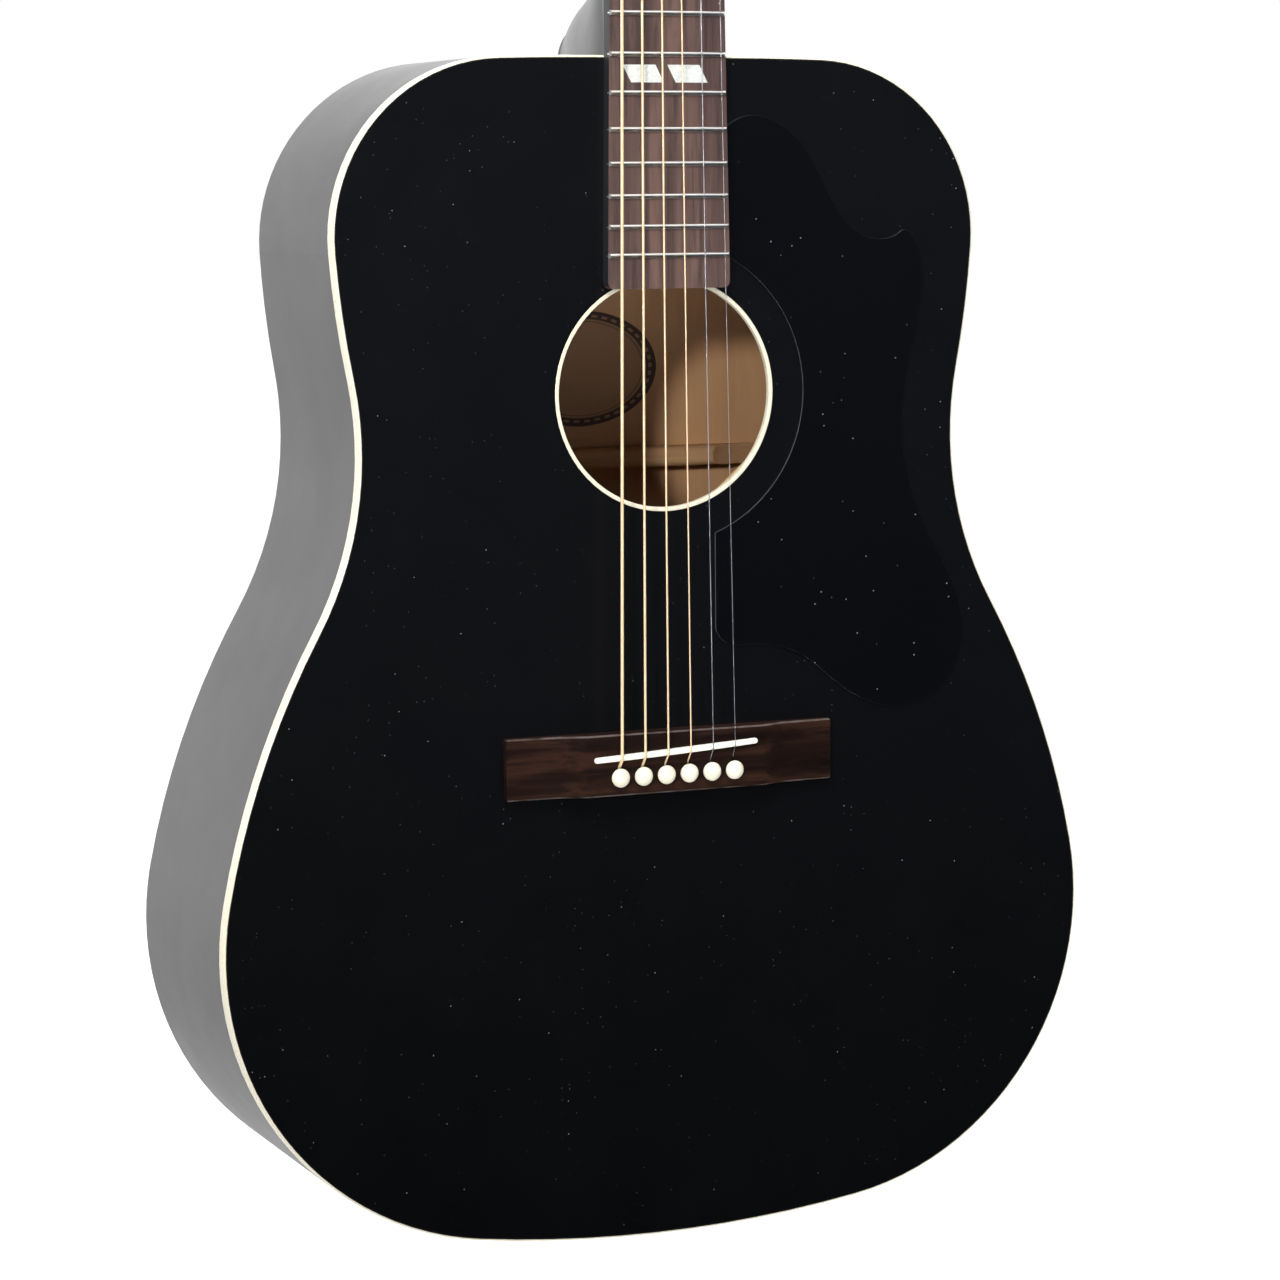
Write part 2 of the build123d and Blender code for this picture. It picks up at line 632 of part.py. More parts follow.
def marker_solids():
    """Pearl parallelograms let into the fingerboard."""
    half, rise = MARKER_WIDTH / 2, MARKER_HEIGHT / 2
    solids = []
    for number in MARKER_FRETS:
        z = (fret_z(number) + fret_z(number - 1)) / 2
        for x in MARKER_X:
            low, high = x + MARKER_LEAN / 2 - 0.2, x - MARKER_LEAN / 2 - 0.2
            face = polygon((high - half, z + rise), (high + half, z + rise), (low + half, z - rise),
                           (low - half, z - rise))
            solid = plate(face, -BOARD_THICKNESS - MARKER_DEPTH, -BOARD_THICKNESS + MARKER_DEPTH)
            solids += (solid & board_axis_tube(BOARD_RADIUS, z - 10, z + 10)).solids()
    return solids


def make_fingerboard():
    blank = board_prism(BOARD_END_Z, nut_z, -BOARD_THICKNESS, 0)
    corners = [edge for edge in blank.edges() if abs(edge.center().Z - BOARD_END_Z) < 0.1 and edge.length < 8
               and abs(edge.center().X) > 20]
    blank = fillet(corners, 3)
    board = blank & board_axis_tube(BOARD_RADIUS, BOARD_END_Z - 1, nut_z + 1)
    for number in range(1, FRET_COUNT + 1):
        board -= square_ended_fret(number)
    for marker in marker_solids():
        board -= marker
    return board


def make_nut():
    half = BOARD_WIDTH_NUT / 2
    crown = NUT_STRING_HEIGHT + 0.9
    bar = block(-half, half, -crown, 0, nut_z, head_z)
    arch = Pos(0, BOARD_RADIUS - crown, nut_z + 3) * Cylinder(BOARD_RADIUS, 10)
    bar = bar & arch
    tops = [edge for edge in bar.edges() if edge.center().Y < -6 and edge.length > 20
            and edge.center().Z > nut_z + 3]
    bar = fillet(tops, 2)
    for index, diameter in enumerate(STRING_DIAMETERS):
        points = string_points(index)
        bar -= string_channel(points[4], points[5], diameter / 2 + 0.03, 12)
    return bar


# ---------------------------------------------------------------- neck and headstock
def head_outline():
    base, shoulder, top = HEAD_HALF_WIDTHS
    side = [
        Line((0, 0), (base, 0)),
        Spline((base, 0), (base + 3.5, 9), (shoulder, HEAD_SHOULDER),
               tangents=[(0.12, 1), (0.35, 1)]),
        Line((shoulder, HEAD_SHOULDER), (top, HEAD_LENGTH - HEAD_CORNER)),
        RadiusArc((top, HEAD_LENGTH - HEAD_CORNER), (top - HEAD_CORNER, HEAD_LENGTH), -HEAD_CORNER),
        Line((top - HEAD_CORNER, HEAD_LENGTH), (0, HEAD_LENGTH)),
        Line((0, HEAD_LENGTH), (0, 0)),
    ]
    half = closed(*side)
    return half + mirror(half, about=Plane.YZ)


def head_holes(radius, depth_from, depth_to):
    """Round holes or bushes at the six posts, between two depths in the head's frame."""
    solids = []
    for side in (-1, 1):
        for v in POST_V:
            start = head_frame.from_local_coords(Vector(side * POST_U, v, depth_from))
            end = head_frame.from_local_coords(Vector(side * POST_U, v, depth_to))
            solids.append(cylinder(start, end, radius))
    return solids


def make_neck():
    low = fret_z(BODY_FRET)
    bottom = Plane(origin=(0, 0, body_length), x_dir=(1, 0, 0), z_dir=(0, 0, -1))
    top = bottom.offset(-(head_z - body_length))
    shaft = loft([bottom * half_ellipse(2 * board_half_width(low), NECK_DEPTH_BODY),
                  top * half_ellipse(BOARD_WIDTH_NUT, NECK_DEPTH_NUT)])
    heel = loft([Plane(origin=(0, depth, body_length), x_dir=(1, 0, 0), z_dir=(0, 1, 0))
                 * half_ellipse(width, length) for depth, width, length in HEEL_SECTIONS])
    slab = extrude(head_frame.offset(-VENEER_THICKNESS) * head_outline(),
                   amount=-(HEAD_THICKNESS - VENEER_THICKNESS))
    slab &= head_transition()
    body = shaft + heel + slab
    body -= block(-80, 80, -60, 0, 300, head_z)
    body += tenon()
    body -= neck_bar_shape()
    body -= veneer_sheet()
    for hole in head_holes(POST_RADIUS + 0.15, -VENEER_THICKNESS + 1, -HEAD_THICKNESS - 1):
        body -= hole
    for hole in head_holes(FERRULE_SLEEVE, -VENEER_THICKNESS + 1, -FERRULE_LENGTH):
        body -= hole
    for screw in plate_screws():
        body -= screw
    return body


def head_transition():
    """Room that rounds the head's lower end into the shaft and leaves the rest alone."""
    frame = Plane(origin=head_frame.origin, x_dir=(1, 0, 0), z_dir=head_frame.y_dir * -1)
    swell = loft([frame.offset(6) * half_ellipse(BOARD_WIDTH_NUT - 0.4, NECK_DEPTH_NUT - 0.2),
                  frame.offset(-45) * half_ellipse(130, 44)])
    rest = frame.offset(-45) * Pos(0, 0, -80) * Box(200, 200, 160)
    return swell + rest


def neck_bar_shape():
    width, depth = BAR_SIZE
    return block(-width / 2, width / 2, BAR_TOP_Y, BAR_TOP_Y + depth, body_length + 12, nut_z - 12)


def make_neck_bar():
    width, depth = BAR_SIZE
    wall = BAR_WALL
    hollow = block(-width / 2 + wall, width / 2 - wall, BAR_TOP_Y + wall, BAR_TOP_Y + depth - wall,
                   body_length + 5, nut_z)
    return neck_bar_shape() - hollow


def veneer_sheet():
    return extrude(head_frame * head_outline(), amount=-VENEER_THICKNESS)


def make_veneer():
    sheet = veneer_sheet()
    for hole in head_holes(FERRULE_SLEEVE, 1, -VENEER_THICKNESS - 1):
        sheet -= hole
    return sheet


def make_heel_cap():
    depth, width, length = HEEL_SECTIONS[-1]
    frame = Plane(origin=(0, depth, body_length), x_dir=(1, 0, 0), z_dir=(0, 1, 0))
    return extrude(frame * half_ellipse(width, length), amount=HEEL_CAP_THICKNESS)


# ---------------------------------------------------------------- tuners
def at_post(solid, side, v):
    """Put a piece made at the origin of the head's frame at a post, mirrored on the bass side."""
    placed = head_frame * Pos(POST_U, v, 0) * solid
    return placed if side > 0 else mirror(placed, about=Plane.YZ)


def plate_screw():
    """Shank of a wood screw that holds a tuner plate."""
    return cylinder((0, 0, plate_back), (0, 0, head_back + PLATE_SCREW[1]), PLATE_SCREW[0])


def plate_screws():
    """Holes for every tuner plate screw."""
    return [at_post(Pos(0, v, 0) * plate_screw(), side, post)
            for side in (-1, 1) for post in POST_V for v in SCREW_V]


def make_tuner_screws():
    head_radius, head_height = PLATE_SCREW[2], 1.4
    head = Pos(0, 0, plate_back) * (Sphere(head_radius + 0.3) & Pos(0, 0, -5) * Box(9, 9, 10))
    head = head & Pos(0, 0, plate_back - head_height / 2) * Cylinder(head_radius, head_height)
    screw = (head + plate_screw()) - Pos(0, 0, plate_back - head_height) * Box(5, 0.5, 1.2)
    screws = [at_post(Pos(0, v, 0) * screw, side, post)
              for side in (-1, 1) for post in POST_V for v in SCREW_V]
    return Compound(children=[solid for one in screws for solid in one.solids()])


def make_tuner_plates():
    """Base plates with two ears each for the worm's shaft."""
    solid = Pos(0, PLATE_SHIFT, plate_back) * extrude(RectangleRounded(*PLATE_SIZE), amount=PLATE_THICKNESS)
    reach = plate_back - gear_mid + 0.3
    ear = Circle(EAR_RADIUS) + Pos(0, reach / 2) * Rectangle(2 * EAR_RADIUS, reach)
    for side in (-1, 1):
        frame = Plane(origin=(side * (EAR_INNER + EAR_THICKNESS / 2), worm_v, gear_mid), x_dir=(0, 1, 0),
                      z_dir=(1, 0, 0))
        solid += extrude(frame * ear, amount=EAR_THICKNESS / 2, both=True)
    solid -= cylinder((-15, worm_v, gear_mid), (15, worm_v, gear_mid), SHAFT_RADIUS + CLEARANCE)
    solid -= cylinder((0, 0, -30), (0, 0, 0), POST_RADIUS + CLEARANCE)
    for v in SCREW_V:
        solid -= Pos(0, v, 0) * plate_screw()
    plates = [at_post(solid, side, v) for side in (-1, 1) for v in POST_V]
    return Compound(children=[piece for one in plates for piece in one.solids()])


def make_ferrules():
    flange = cylinder((0, 0, 0), (0, 0, 1.2), FERRULE_FLANGE)
    solid = flange + cylinder((0, 0, -FERRULE_LENGTH), (0, 0, 0), FERRULE_SLEEVE)
    solid -= cylinder((0, 0, -20), (0, 0, 5), POST_RADIUS + CLEARANCE)
    solids = [at_post(solid, side, v) for side in (-1, 1) for v in POST_V]
    return Compound(children=[piece for one in solids for piece in one.solids()])


def gear_blank():
    """Slanted gear teeth that mesh with the worm, cut from a round blank."""
    outer, root = gear_radius + TOOTH_OUT, gear_radius - TOOTH_IN
    middle = GEAR_MODULE * pi / 4 - TOOTH_BACKLASH
    foot, tip = middle + 0.30, middle - 0.26
    tooth = polygon((-foot, root - 0.4), (foot, root - 0.4), (middle, gear_radius), (tip, outer), (-tip, outer),
                    (-middle, gear_radius))
    teeth = Circle(root)
    for number in range(GEAR_TEETH):
        teeth += Rot(0, 0, 360 / GEAR_TEETH * number) * tooth
    twist = degrees(lead_angle / gear_radius * GEAR_WIDTH)
    face = teeth.faces()[0]
    solid = Solid.extrude_linear_with_rotation(face, Vector(0, 0, 0), Vector(0, 0, GEAR_WIDTH), twist)
    return Pos(0, 0, gear_low) * Rot(0, 0, -twist / 2) * solid


def worm_thread():
    """One-start thread along +X, made by turning its cross-section as it rises."""
    outer, root = WORM_PITCH_RADIUS + TOOTH_OUT, WORM_PITCH_RADIUS - TOOTH_IN
    crest, flank = (radians(angle) for angle in THREAD_ANGLES)
    ramp = [(root + (outer - root) * part / 6, crest / 2 + flank * (1 - part / 6)) for part in range(7)]
    rising = [(radius * cos(-angle), radius * sin(-angle)) for radius, angle in ramp]
    falling = [(radius * cos(angle), radius * sin(angle)) for radius, angle in reversed(ramp)]
    edges = [
        Spline(*rising),
        ThreePointArc(rising[-1], (outer, 0), falling[0]),
        Spline(*falling),
        ThreePointArc(falling[-1], (-root, 0), rising[0]),
    ]
    face = closed(*edges).faces()[0]
    turn = 360 * WORM_LENGTH / thread_pitch
    solid = Solid.extrude_linear_with_rotation(face, Vector(0, 0, 0), Vector(0, 0, WORM_LENGTH), turn)
    return Pos(-WORM_LENGTH / 2, 0, 0) * Rot(0, 90, 0) * solid


def make_worm():
    """Worm on its shaft, with thrust collars inside the ears and a seat for the button."""
    ear_outside = EAR_INNER + EAR_THICKNESS
    shaft = cylinder((-ear_outside - 1.2, 0, 0), (BUTTON_START + SHAFT_IN_BUTTON, 0, 0), SHAFT_RADIUS)
    collars = cylinder((WORM_LENGTH / 2, 0, 0), (EAR_INNER - CLEARANCE, 0, 0), COLLAR_RADIUS)
    collars += cylinder((-EAR_INNER + CLEARANCE, 0, 0), (-WORM_LENGTH / 2, 0, 0), COLLAR_RADIUS)
    peened = cylinder((-ear_outside - 1.4, 0, 0), (-ear_outside - CLEARANCE, 0, 0), PEENED_RADIUS)
    seat = cylinder((BUTTON_START - 2.6, 0, 0), (BUTTON_START, 0, 0), HUB_RADIUS)
    solid = worm_thread() + shaft + collars + peened + seat
    return Pos(0, worm_v, gear_mid) * Rot(WORM_PHASE, 0, 0) * solid


def make_button():
    """Oval button with rounded edges, pushed on to the end of the worm's shaft."""
    half = BUTTON_LENGTH / 2
    body = extrude(Ellipse(half, BUTTON_WIDTH / 2), amount=BUTTON_THICKNESS / 2, both=True)
    body = fillet(body.edges().filter_by(lambda edge: edge.length > 20), BUTTON_ROUNDING)
    body -= Pos(-half, 0, 0) * Box(2 * BUTTON_FLAT, 30, 30)
    body = Pos(half - BUTTON_FLAT + BUTTON_START, 0, 0) * body
    body -= cylinder((BUTTON_START - 1, 0, 0), (BUTTON_START + SHAFT_IN_BUTTON, 0, 0), SHAFT_RADIUS)
    return Pos(0, worm_v, gear_mid) * body


def make_post():
    """String post with its gear and the screw that holds the gear on."""
    post = cylinder((0, 0, gear_low), (0, 0, POST_TOP_W), POST_RADIUS)
    post = fillet(post.edges().sort_by(Axis.Z)[-1], 0.6)
    start, end, deep = POST_WAIST
    waist = cylinder((0, 0, start), (0, 0, end), POST_RADIUS + 1)
    waist -= cylinder((0, 0, start - 1), (0, 0, end + 1), POST_RADIUS - deep)
    boss = cylinder((0, 0, gear_low + GEAR_WIDTH), (0, 0, plate_back - CLEARANCE), BOSS_RADIUS)
    screw_radius, screw_height = GEAR_SCREW
    screw = cylinder((0, 0, gear_low - screw_height), (0, 0, gear_low), screw_radius)
    screw -= Pos(0, 0, gear_low - screw_height) * Box(8, 0.6, 1.2)
    solid = post - waist + gear_blank() + boss + screw
    return solid - cylinder((-5, 0, POST_HOLE_W), (5, 0, POST_HOLE_W), POST_HOLE_RADIUS)


# ---------------------------------------------------------------- end pin
def make_end_pin():
    """Strap pin pushed into the tail block."""
    cap = cap_arc(*END_PIN_SIDE[-1], END_PIN_CROWN)
    profile = closed(Polyline(*END_PIN_SIDE), cap, Line((0, END_PIN_CROWN), END_PIN_SIDE[0]))
    return Pos(0, END_PIN_Y, 0) * revolve(Plane.XZ * profile, Axis.Z)


# ---------------------------------------------------------------- all nodes
parts["soundboard"] = make_soundboard()
parts["back"] = make_back()
parts["sides"] = make_sides()
parts["top_binding"] = ring(0, BINDING_THICKNESS, 0, BINDING_HEIGHT) - tenon()
parts["soundhole_ring"] = make_soundhole_ring()
parts["pickguard"] = make_pickguard()
parts["label"] = make_label()
parts["linings"] = make_linings()
parts["neck_block"] = neck_block_shape()
parts["tail_block"] = tail_block_shape()
parts["top_braces"] = make_top_braces()
parts["back_braces"] = Compound(children=[bar.solids()[0] for bar in back_brace_shapes()])
parts["back_centre_strip"] = Compound(children=make_back_centre_strip().solids())
parts["bridge_plate"] = make_bridge_plate()
parts["bridge"] = make_bridge()
parts["saddle"] = make_saddle()
parts["neck"] = make_neck()
parts["neck_bar"] = make_neck_bar()
parts["headstock_veneer"] = make_veneer()
parts["heel_cap"] = make_heel_cap()
parts["fingerboard"] = make_fingerboard()
parts["frets"] = Compound(children=[fret_solid(n).solids()[0] for n in range(1, FRET_COUNT + 1)])
parts["fret_markers"] = Compound(children=marker_solids())
parts["nut"] = make_nut()
parts["tuner_plates"] = make_tuner_plates()
parts["tuner_ferrules"] = make_ferrules()
parts["tuner_screws"] = make_tuner_screws()
parts["end_pin"] = make_end_pin()
button, worm, post = make_button(), make_worm(), make_post()
for index, name in enumerate(STRINGS):
    side, v = post_place(index)
    parts["string_" + name] = make_string(index)
    parts["bridge_pin_" + name] = make_pin(index)
    parts["tuner_button_" + name] = at_post(button, side, v)
    parts["tuner_worm_" + name] = at_post(worm, side, v)
    parts["tuner_post_" + name] = at_post(post, side, v)

os.makedirs("parts", exist_ok=True)
for name, solid in parts.items():
    export_step(Pos(0, -END_PIN_Y, 0) * solid, "parts/" + name + ".step")
print(len(parts), "parts written")
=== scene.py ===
import json
from math import cos, pi, radians, sin

import bpy
from mathutils import Matrix, Vector


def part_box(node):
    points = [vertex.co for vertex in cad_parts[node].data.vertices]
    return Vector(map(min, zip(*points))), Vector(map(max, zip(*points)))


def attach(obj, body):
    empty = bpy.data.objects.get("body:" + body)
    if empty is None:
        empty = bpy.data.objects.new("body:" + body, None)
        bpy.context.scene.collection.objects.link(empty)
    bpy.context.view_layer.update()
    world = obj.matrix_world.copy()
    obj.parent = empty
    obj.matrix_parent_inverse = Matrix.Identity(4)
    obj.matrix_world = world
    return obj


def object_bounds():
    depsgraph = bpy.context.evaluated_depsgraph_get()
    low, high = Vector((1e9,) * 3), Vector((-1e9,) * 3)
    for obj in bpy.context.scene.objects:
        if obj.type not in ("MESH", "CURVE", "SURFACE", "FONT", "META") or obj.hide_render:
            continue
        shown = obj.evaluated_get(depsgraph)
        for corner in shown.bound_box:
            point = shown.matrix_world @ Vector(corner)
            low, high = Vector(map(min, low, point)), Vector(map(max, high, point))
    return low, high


# An acoustic guitar, held upright by its neck, its soundboard facing -Y. Sizes are in metres.
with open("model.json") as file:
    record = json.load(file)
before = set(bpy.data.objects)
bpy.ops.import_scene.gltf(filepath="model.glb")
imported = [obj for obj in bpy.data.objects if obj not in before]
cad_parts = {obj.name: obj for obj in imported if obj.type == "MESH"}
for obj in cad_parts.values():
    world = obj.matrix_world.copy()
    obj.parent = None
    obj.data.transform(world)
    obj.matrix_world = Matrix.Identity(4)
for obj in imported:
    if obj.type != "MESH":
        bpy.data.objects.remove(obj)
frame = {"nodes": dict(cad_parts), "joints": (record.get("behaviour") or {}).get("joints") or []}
cad_low, cad_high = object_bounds()
nodes = frame["nodes"]
joints = {joint["name"]: joint for joint in frame["joints"]}

STRINGS = ("low_e", "a", "d", "g", "b", "high_e")
WOUND = STRINGS[:4]
FRONT_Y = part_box("soundboard")[0].y
BODY_TOP_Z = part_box("back")[1].z
HOLE_LOW, HOLE_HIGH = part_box("soundhole_ring")
HOLE_Z = (HOLE_LOW.z + HOLE_HIGH.z) / 2


# ---------------------------------------------------------------- shader helpers
def new_material(name):
    """A material with an empty Principled shader; returns the material, its tree and the shader."""
    material = bpy.data.materials.new(name)
    material.use_nodes = True
    tree = material.node_tree
    return material, tree, tree.nodes["Principled BSDF"]


def connect(tree, value, socket):
    """Link a socket, or set a plain value."""
    if isinstance(value, bpy.types.NodeSocket):
        tree.links.new(value, socket)
    else:
        socket.default_value = value


def position(tree, stretch=(1, 1, 1)):
    """Place on the object at rest, in metres, with each axis multiplied."""
    coords = tree.nodes.new("ShaderNodeTexCoord")
    if stretch == (1, 1, 1):
        return coords.outputs["Object"]
    mapping = tree.nodes.new("ShaderNodeMapping")
    mapping.inputs["Scale"].default_value = stretch
    tree.links.new(coords.outputs["Object"], mapping.inputs["Vector"])
    return mapping.outputs["Vector"]


def split(tree, vector):
    """The X, Y and Z of a vector."""
    made = tree.nodes.new("ShaderNodeSeparateXYZ")
    tree.links.new(vector, made.inputs[0])
    return made.outputs


def surface_normal(tree):
    """The surface's own direction."""
    return tree.nodes.new("ShaderNodeTexCoord").outputs["Normal"]


def noise(tree, vector, scale, detail=4.0, roughness=0.5, distortion=0.0):
    """Soft random variation from 0 to 1."""
    made = tree.nodes.new("ShaderNodeTexNoise")
    tree.links.new(vector, made.inputs["Vector"])
    settings = {"Scale": scale, "Detail": detail, "Roughness": roughness, "Distortion": distortion}
    for key, value in settings.items():
        made.inputs[key].default_value = value
    return made.outputs["Fac"]


def cells(tree, vector, scale):
    """Distance to the nearest of many scattered points."""
    made = tree.nodes.new("ShaderNodeTexVoronoi")
    tree.links.new(vector, made.inputs["Vector"])
    made.inputs["Scale"].default_value = scale
    return made.outputs["Distance"]


def specks(tree, scale, size, share):
    """Scattered dots of dust. `size` is a dot's radius in cells; `share` of the cells hold one."""
    made = tree.nodes.new("ShaderNodeTexVoronoi")
    tree.links.new(position(tree), made.inputs["Vector"])
    made.inputs["Scale"].default_value = scale
    dot = band(tree, made.outputs["Distance"], size, size * 0.5)
    chance = split(tree, made.outputs["Color"])["X"]
    return calc(tree, "MULTIPLY", dot, band(tree, chance, 1 - share, 1.01 - share))


def ramp(tree, factor, *stops):
    """Colour ramp from (place, colour) pairs."""
    made = tree.nodes.new("ShaderNodeValToRGB")
    tree.links.new(factor, made.inputs["Fac"])
    points = made.color_ramp.elements
    while len(points) < len(stops):
        points.new(0.5)
    for point, (place, colour) in zip(points, stops):
        point.position = place
        point.color = (*colour, 1)
    return made.outputs["Color"]


def band(tree, value, low, high, from_low=0.0, to_high=1.0):
    """Straight-line change between two values, held flat outside them."""
    made = tree.nodes.new("ShaderNodeMapRange")
    connect(tree, value, made.inputs["Value"])
    for key, number in (("From Min", low), ("From Max", high), ("To Min", from_low), ("To Max", to_high)):
        made.inputs[key].default_value = number
    return made.outputs["Result"]


def calc(tree, operation, first, second=0.0):
    """One step of arithmetic on values."""
    made = tree.nodes.new("ShaderNodeMath")
    made.operation = operation
    connect(tree, first, made.inputs[0])
    connect(tree, second, made.inputs[1])
    return made.outputs[0]


def mix(tree, factor, first, second, blend="MIX"):
    """Blend two colours."""
    made = tree.nodes.new("ShaderNodeMix")
    made.data_type = "RGBA"
    made.blend_type = blend
    connect(tree, factor, made.inputs[0])
    for value, socket in ((first, made.inputs[6]), (second, made.inputs[7])):
        connect(tree, (*value, 1) if isinstance(value, tuple) and len(value) == 3 else value, socket)
    return made.outputs[2]


def bump(tree, height, strength, depth):
    """Fine relief, `depth` metres high."""
    made = tree.nodes.new("ShaderNodeBump")
    tree.links.new(height, made.inputs["Height"])
    made.inputs["Strength"].default_value = strength
    made.inputs["Distance"].default_value = depth
    return made.outputs["Normal"]


# ---------------------------------------------------------------- materials
LACQUER_BLACK = (0.0008, 0.0009, 0.0012)
LACQUER_GREYED = (0.0012, 0.00135, 0.00192)
INSIDE_TAN = ((0.56, 0.320, 0.160), (0.50, 0.275, 0.130))
TOP_SPRUCE = ((0.55, 0.36, 0.17), (0.38, 0.22, 0.09))


def lacquer_layers(tree):
    """Black polished lacquer with faint dust and polishing marks; returns its colour and roughness."""
    place = position(tree)
    dust, fine = specks(tree, 150, 0.045, 0.5), specks(tree, 320, 0.085, 0.45)
    tint = mix(tree, noise(tree, place, 9, 3), LACQUER_BLACK, LACQUER_GREYED)
    colour = mix(tree, dust, tint, (0.15, 0.16, 0.18))
    colour = mix(tree, calc(tree, "MULTIPLY", fine, 0.5), colour, (0.09, 0.095, 0.11))
    rough = band(tree, noise(tree, place, 30, 5, 0.6), 0.3, 0.7, 0.27, 0.32)
    rough = calc(tree, "ADD", rough, calc(tree, "MULTIPLY", dust, 0.3))
    return colour, rough


def orange_peel(tree):
    """The faint waviness of sprayed lacquer."""
    return bump(tree, noise(tree, position(tree), 120, 2), 0.05, 0.0004)


def bare_wood_colour(tree, light, dark, grain, scale=1.0, streak=0.5):
    """Sanded wood: bands of growth, streaks and pores. `grain` is the axis stretch that runs along it."""
    place = position(tree, grain)
    bands = noise(tree, place, 60 * scale, 4, 0.55, 0.6)
    streaks = noise(tree, place, 420 * scale, 3, 0.6)
    colour = mix(tree, band(tree, bands, 0.3, 0.72), light, dark)
    return mix(tree, calc(tree, "MULTIPLY", band(tree, streaks, 0.5, 0.8), streak), colour,
               tuple(part * 0.55 for part in dark))


def lacquer_over_wood(tree, shader, inside, wood, bare_roughness):
    """Black lacquer outside and bare wood where `inside` is 1."""
    colour, rough = lacquer_layers(tree)
    connect(tree, mix(tree, inside, colour, wood), shader.inputs["Base Color"])
    connect(tree, mix(tree, inside, rough, (bare_roughness,) * 3), shader.inputs["Roughness"])
    connect(tree, orange_peel(tree), shader.inputs["Normal"])


def make_black_top():
    """Soundboard: black lacquer outside, bare spruce inside."""
    material, tree, shader = new_material("black_top")
    inside = band(tree, split(tree, surface_normal(tree))["Y"], 0.4, 0.6)
    lacquer_over_wood(tree, shader, inside, bare_wood_colour(tree, *TOP_SPRUCE, (1, 1, 0.05)), 0.6)
    return material


def inside_tan(tree):
    """The bare wood of the back and sides, as seen through the soundhole."""
    return bare_wood_colour(tree, *INSIDE_TAN, (1, 1, 0.08), 1.6, 0.12)


def make_black_back():
    """Back: black lacquer outside and at the rim, tan bare wood inside."""
    material, tree, shader = new_material("black_back")
    inside = band(tree, split(tree, surface_normal(tree))["Y"], -0.4, -0.6)
    lacquer_over_wood(tree, shader, inside, inside_tan(tree), 0.55)
    return material


def make_black_sides():
    """Sides: black lacquer outside, tan bare wood inside, told apart by which way they face."""
    material, tree, shader = new_material("black_sides")
    away = tree.nodes.new("ShaderNodeVectorMath")
    away.operation = "SUBTRACT"
    tree.links.new(position(tree), away.inputs[0])
    away.inputs[1].default_value = (0, 0, BODY_TOP_Z / 2)
    facing = tree.nodes.new("ShaderNodeVectorMath")
    facing.operation = "DOT_PRODUCT"
    tree.links.new(away.outputs[0], facing.inputs[0])
    tree.links.new(surface_normal(tree), facing.inputs[1])
    inside = band(tree, facing.outputs["Value"], 0.004, -0.004)
    lacquer_over_wood(tree, shader, inside, inside_tan(tree), 0.55)
    return material


def make_black_lacquer():
    """Neck, headstock face and heel cap."""
    material, tree, shader = new_material("black_lacquer")
    colour, rough = lacquer_layers(tree)
    connect(tree, colour, shader.inputs["Base Color"])
    connect(tree, rough, shader.inputs["Roughness"])
    connect(tree, orange_peel(tree), shader.inputs["Normal"])
    return material


def make_pickguard_black():
    """Polished black sheet with fine hairline scratches."""
    material, tree, shader = new_material("pickguard_black")
    place = position(tree)
    dust = specks(tree, 200, 0.08, 0.5)
    swirl = noise(tree, position(tree, (1, 1, 0.12)), 700, 2, 0.5, 1.2)
    marks = band(tree, swirl, 0.66, 0.74)
    colour = mix(tree, noise(tree, place, 14, 2), (0.0010, 0.0012, 0.0016), (0.0016, 0.0018, 0.0024))
    colour = mix(tree, dust, colour, (0.12, 0.13, 0.15))
    # Painted highlight: a thin grey line on the bevelled edge stands in for light caught there.
    bevel_highlight = band(tree, split(tree, surface_normal(tree))["Y"], -0.985, -0.90)
    colour = mix(tree, bevel_highlight, colour, (0.055, 0.06, 0.068))
    connect(tree, colour, shader.inputs["Base Color"])
    connect(tree, calc(tree, "ADD", band(tree, noise(tree, place, 40, 4), 0.3, 0.7, 0.07, 0.12),
                       calc(tree, "MULTIPLY", marks, 0.08)), shader.inputs["Roughness"])
    shader.inputs["Specular IOR Level"].default_value = 0.3
    connect(tree, bump(tree, noise(tree, place, 60, 2), 0.04, 0.0004), shader.inputs["Normal"])
    return material


def make_binding(name, black_front):
    """Cream celluloid with faint grain lines; the front face is black where the top's lacquer covers it."""
    material, tree, shader = new_material(name)
    place = position(tree)
    tone = noise(tree, position(tree, (1, 0.2, 1)), 160, 3)
    cream = mix(tree, tone, (0.52, 0.485, 0.37), (0.60, 0.565, 0.46))
    cream = mix(tree, calc(tree, "MULTIPLY", band(tree, noise(tree, place, 26, 4), 0.55, 0.75), 0.5), cream,
                (0.55, 0.49, 0.35))
    rough = band(tree, noise(tree, place, 90, 4), 0.3, 0.7, 0.22, 0.34)
    if black_front:
        front = band(tree, split(tree, surface_normal(tree))["Y"], -0.93, -0.98)
        cream = mix(tree, front, cream, (0.0035, 0.0037, 0.0045))
    connect(tree, cream, shader.inputs["Base Color"])
    connect(tree, rough, shader.inputs["Roughness"])
    shader.inputs["Subsurface Weight"].default_value = 0.08
    shader.inputs["Subsurface Radius"].default_value = (0.002, 0.0015, 0.001)
    connect(tree, bump(tree, noise(tree, place, 300, 2), 0.03, 0.0002), shader.inputs["Normal"])
    return material


